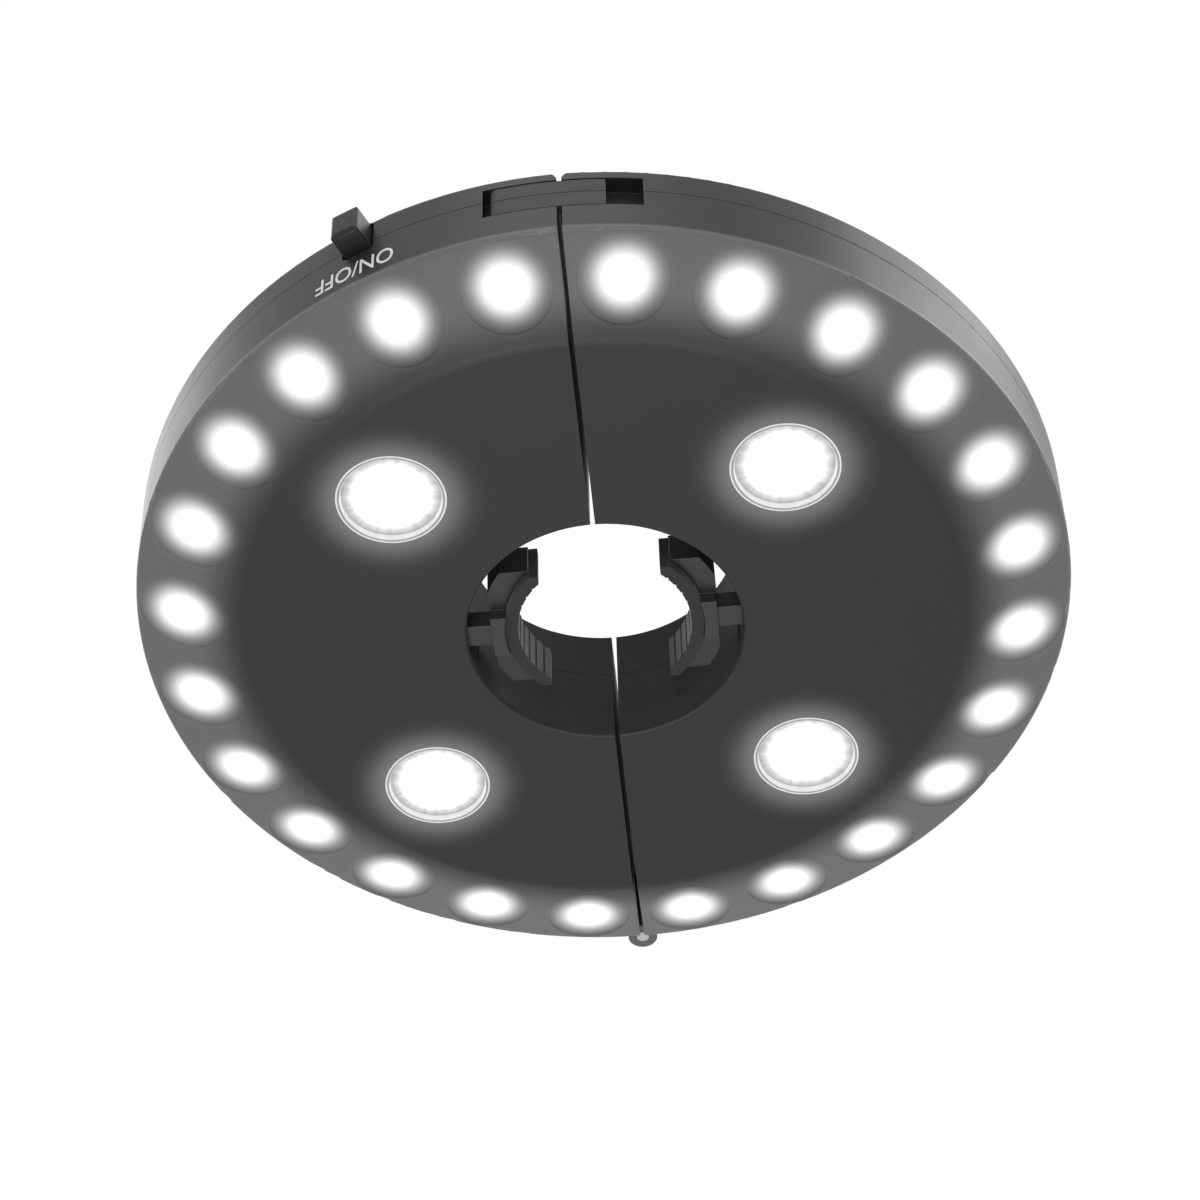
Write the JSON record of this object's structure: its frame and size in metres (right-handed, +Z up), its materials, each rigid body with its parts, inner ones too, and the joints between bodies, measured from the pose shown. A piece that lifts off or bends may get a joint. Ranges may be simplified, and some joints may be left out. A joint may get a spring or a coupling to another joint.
{
  "type": "patio umbrella light",
  "caption": "Round cordless lamp in two hinged halves that latches round a parasol pole, with sprung jaws, a ring of small LEDs and bigger spot lamps facing down.",
  "frame": {"origin": "on the pole's axis, midway up the jaws' pads, where the pole is held; the flat LED face, which is the lowest plane of the lamp as it hangs, is 7.1 mm below it", "axes": "+Z up along the pole, away from the LED face; the halves meet on the plane X = 0; the latch and the switch are on the -Y side, and the hinge is on the +Y side"},
  "size_m": [0.215, 0.2197, 0.035],
  "materials": {
    "dark_plastic": "satin moulded",
    "trim_plastic": "satin moulded",
    "jaw_plastic": "matt moulded",
    "rubber": "matt",
    "steel": "plated",
    "white_finish": "white solder mask, and the white lettering on the rim",
    "led_glow": "clear moulded, lit",
    "clear_plastic": "clear moulded",
    "bright_plate": "vacuum plated",
    "tray_plastic": "matt moulded",
    "cell_can": "plain printed sleeve"
  },
  "bodies": {
    "left_half": {"lower_shell_left": "dark_plastic", "upper_cover_left": "dark_plastic", "jaw_spring_left": "steel", "jaw_guide_cover_left": "jaw_plastic", "led_board_left": "white_finish", "ring_leds_left": "led_glow", "spot_lens_front_left": "clear_plastic", "spot_reflector_front_left": "bright_plate", "spot_board_front_left": "white_finish", "spot_led_front_left": "led_glow", "spot_lens_rear_left": "clear_plastic", "spot_reflector_rear_left": "bright_plate", "spot_board_rear_left": "white_finish", "spot_led_rear_left": "led_glow", "battery_tray_left": "tray_plastic", "battery_cell_left_near": "cell_can", "battery_cell_left_far": "cell_can", "battery_contacts_left": "steel", "case_screws_left": "steel", "board_screws_left": "steel", "hinge_pin": "steel", "latch_pin": "steel", "switch_module": "tray_plastic"},
    "right_half": {"lower_shell_right": "dark_plastic", "upper_cover_right": "dark_plastic", "jaw_spring_right": "steel", "jaw_guide_cover_right": "jaw_plastic", "led_board_right": "white_finish", "ring_leds_right": "led_glow", "spot_lens_front_right": "clear_plastic", "spot_reflector_front_right": "bright_plate", "spot_board_front_right": "white_finish", "spot_led_front_right": "led_glow", "spot_lens_rear_right": "clear_plastic", "spot_reflector_rear_right": "bright_plate", "spot_board_rear_right": "white_finish", "spot_led_rear_right": "led_glow", "battery_tray_right": "tray_plastic", "battery_cell_right_near": "cell_can", "battery_cell_right_far": "cell_can", "battery_contacts_right": "steel", "case_screws_right": "steel", "board_screws_right": "steel"},
    "latch": {"latch_lever": "trim_plastic"},
    "jaw_left": {"jaw_left": "jaw_plastic", "jaw_pad_left": "rubber"},
    "jaw_right": {"jaw_right": "jaw_plastic", "jaw_pad_right": "rubber"},
    "switch_button": {"switch_button": "trim_plastic"},
    "battery_door_left": {"battery_door_left": "dark_plastic"},
    "battery_door_right": {"battery_door_right": "dark_plastic"}
  },
  "joints": [
    {"name": "half_hinge", "type": "hinge", "parent": "left_half", "child": "right_half", "pos_m": [0, 0.1086, 0.0106], "axis": [0, 0, 1], "range_deg": [0, 120]},
    {"name": "latch_swing", "type": "hinge", "parent": "left_half", "child": "latch", "pos_m": [-0.0136, -0.10492, 0.0136], "axis": [0, 0, -1], "range_deg": [0, 70]},
    {"name": "jaw_left_slide", "type": "slide", "parent": "left_half", "child": "jaw_left", "axis": [1, 0, 0], "range_m": [-0.003, 0.009], "stiffness_N_per_m": 300, "deforming": ["jaw_spring_left"]},
    {"name": "jaw_right_slide", "type": "slide", "parent": "right_half", "child": "jaw_right", "axis": [-1, 0, 0], "range_m": [-0.003, 0.009], "stiffness_N_per_m": 300, "deforming": ["jaw_spring_right"]},
    {"name": "switch_press", "type": "slide", "parent": "left_half", "child": "switch_button", "axis": [0.4163, 0.9092, 0], "range_m": [0, 0.0025], "stiffness_N_per_m": 400},
    {"name": "battery_door_left_lift", "type": "slide", "parent": "left_half", "child": "battery_door_left", "axis": [0, 0, 1], "range_m": [0, 0.03]},
    {"name": "battery_door_right_lift", "type": "slide", "parent": "right_half", "child": "battery_door_right", "axis": [0, 0, 1], "range_m": [0, 0.03]}
  ]
}
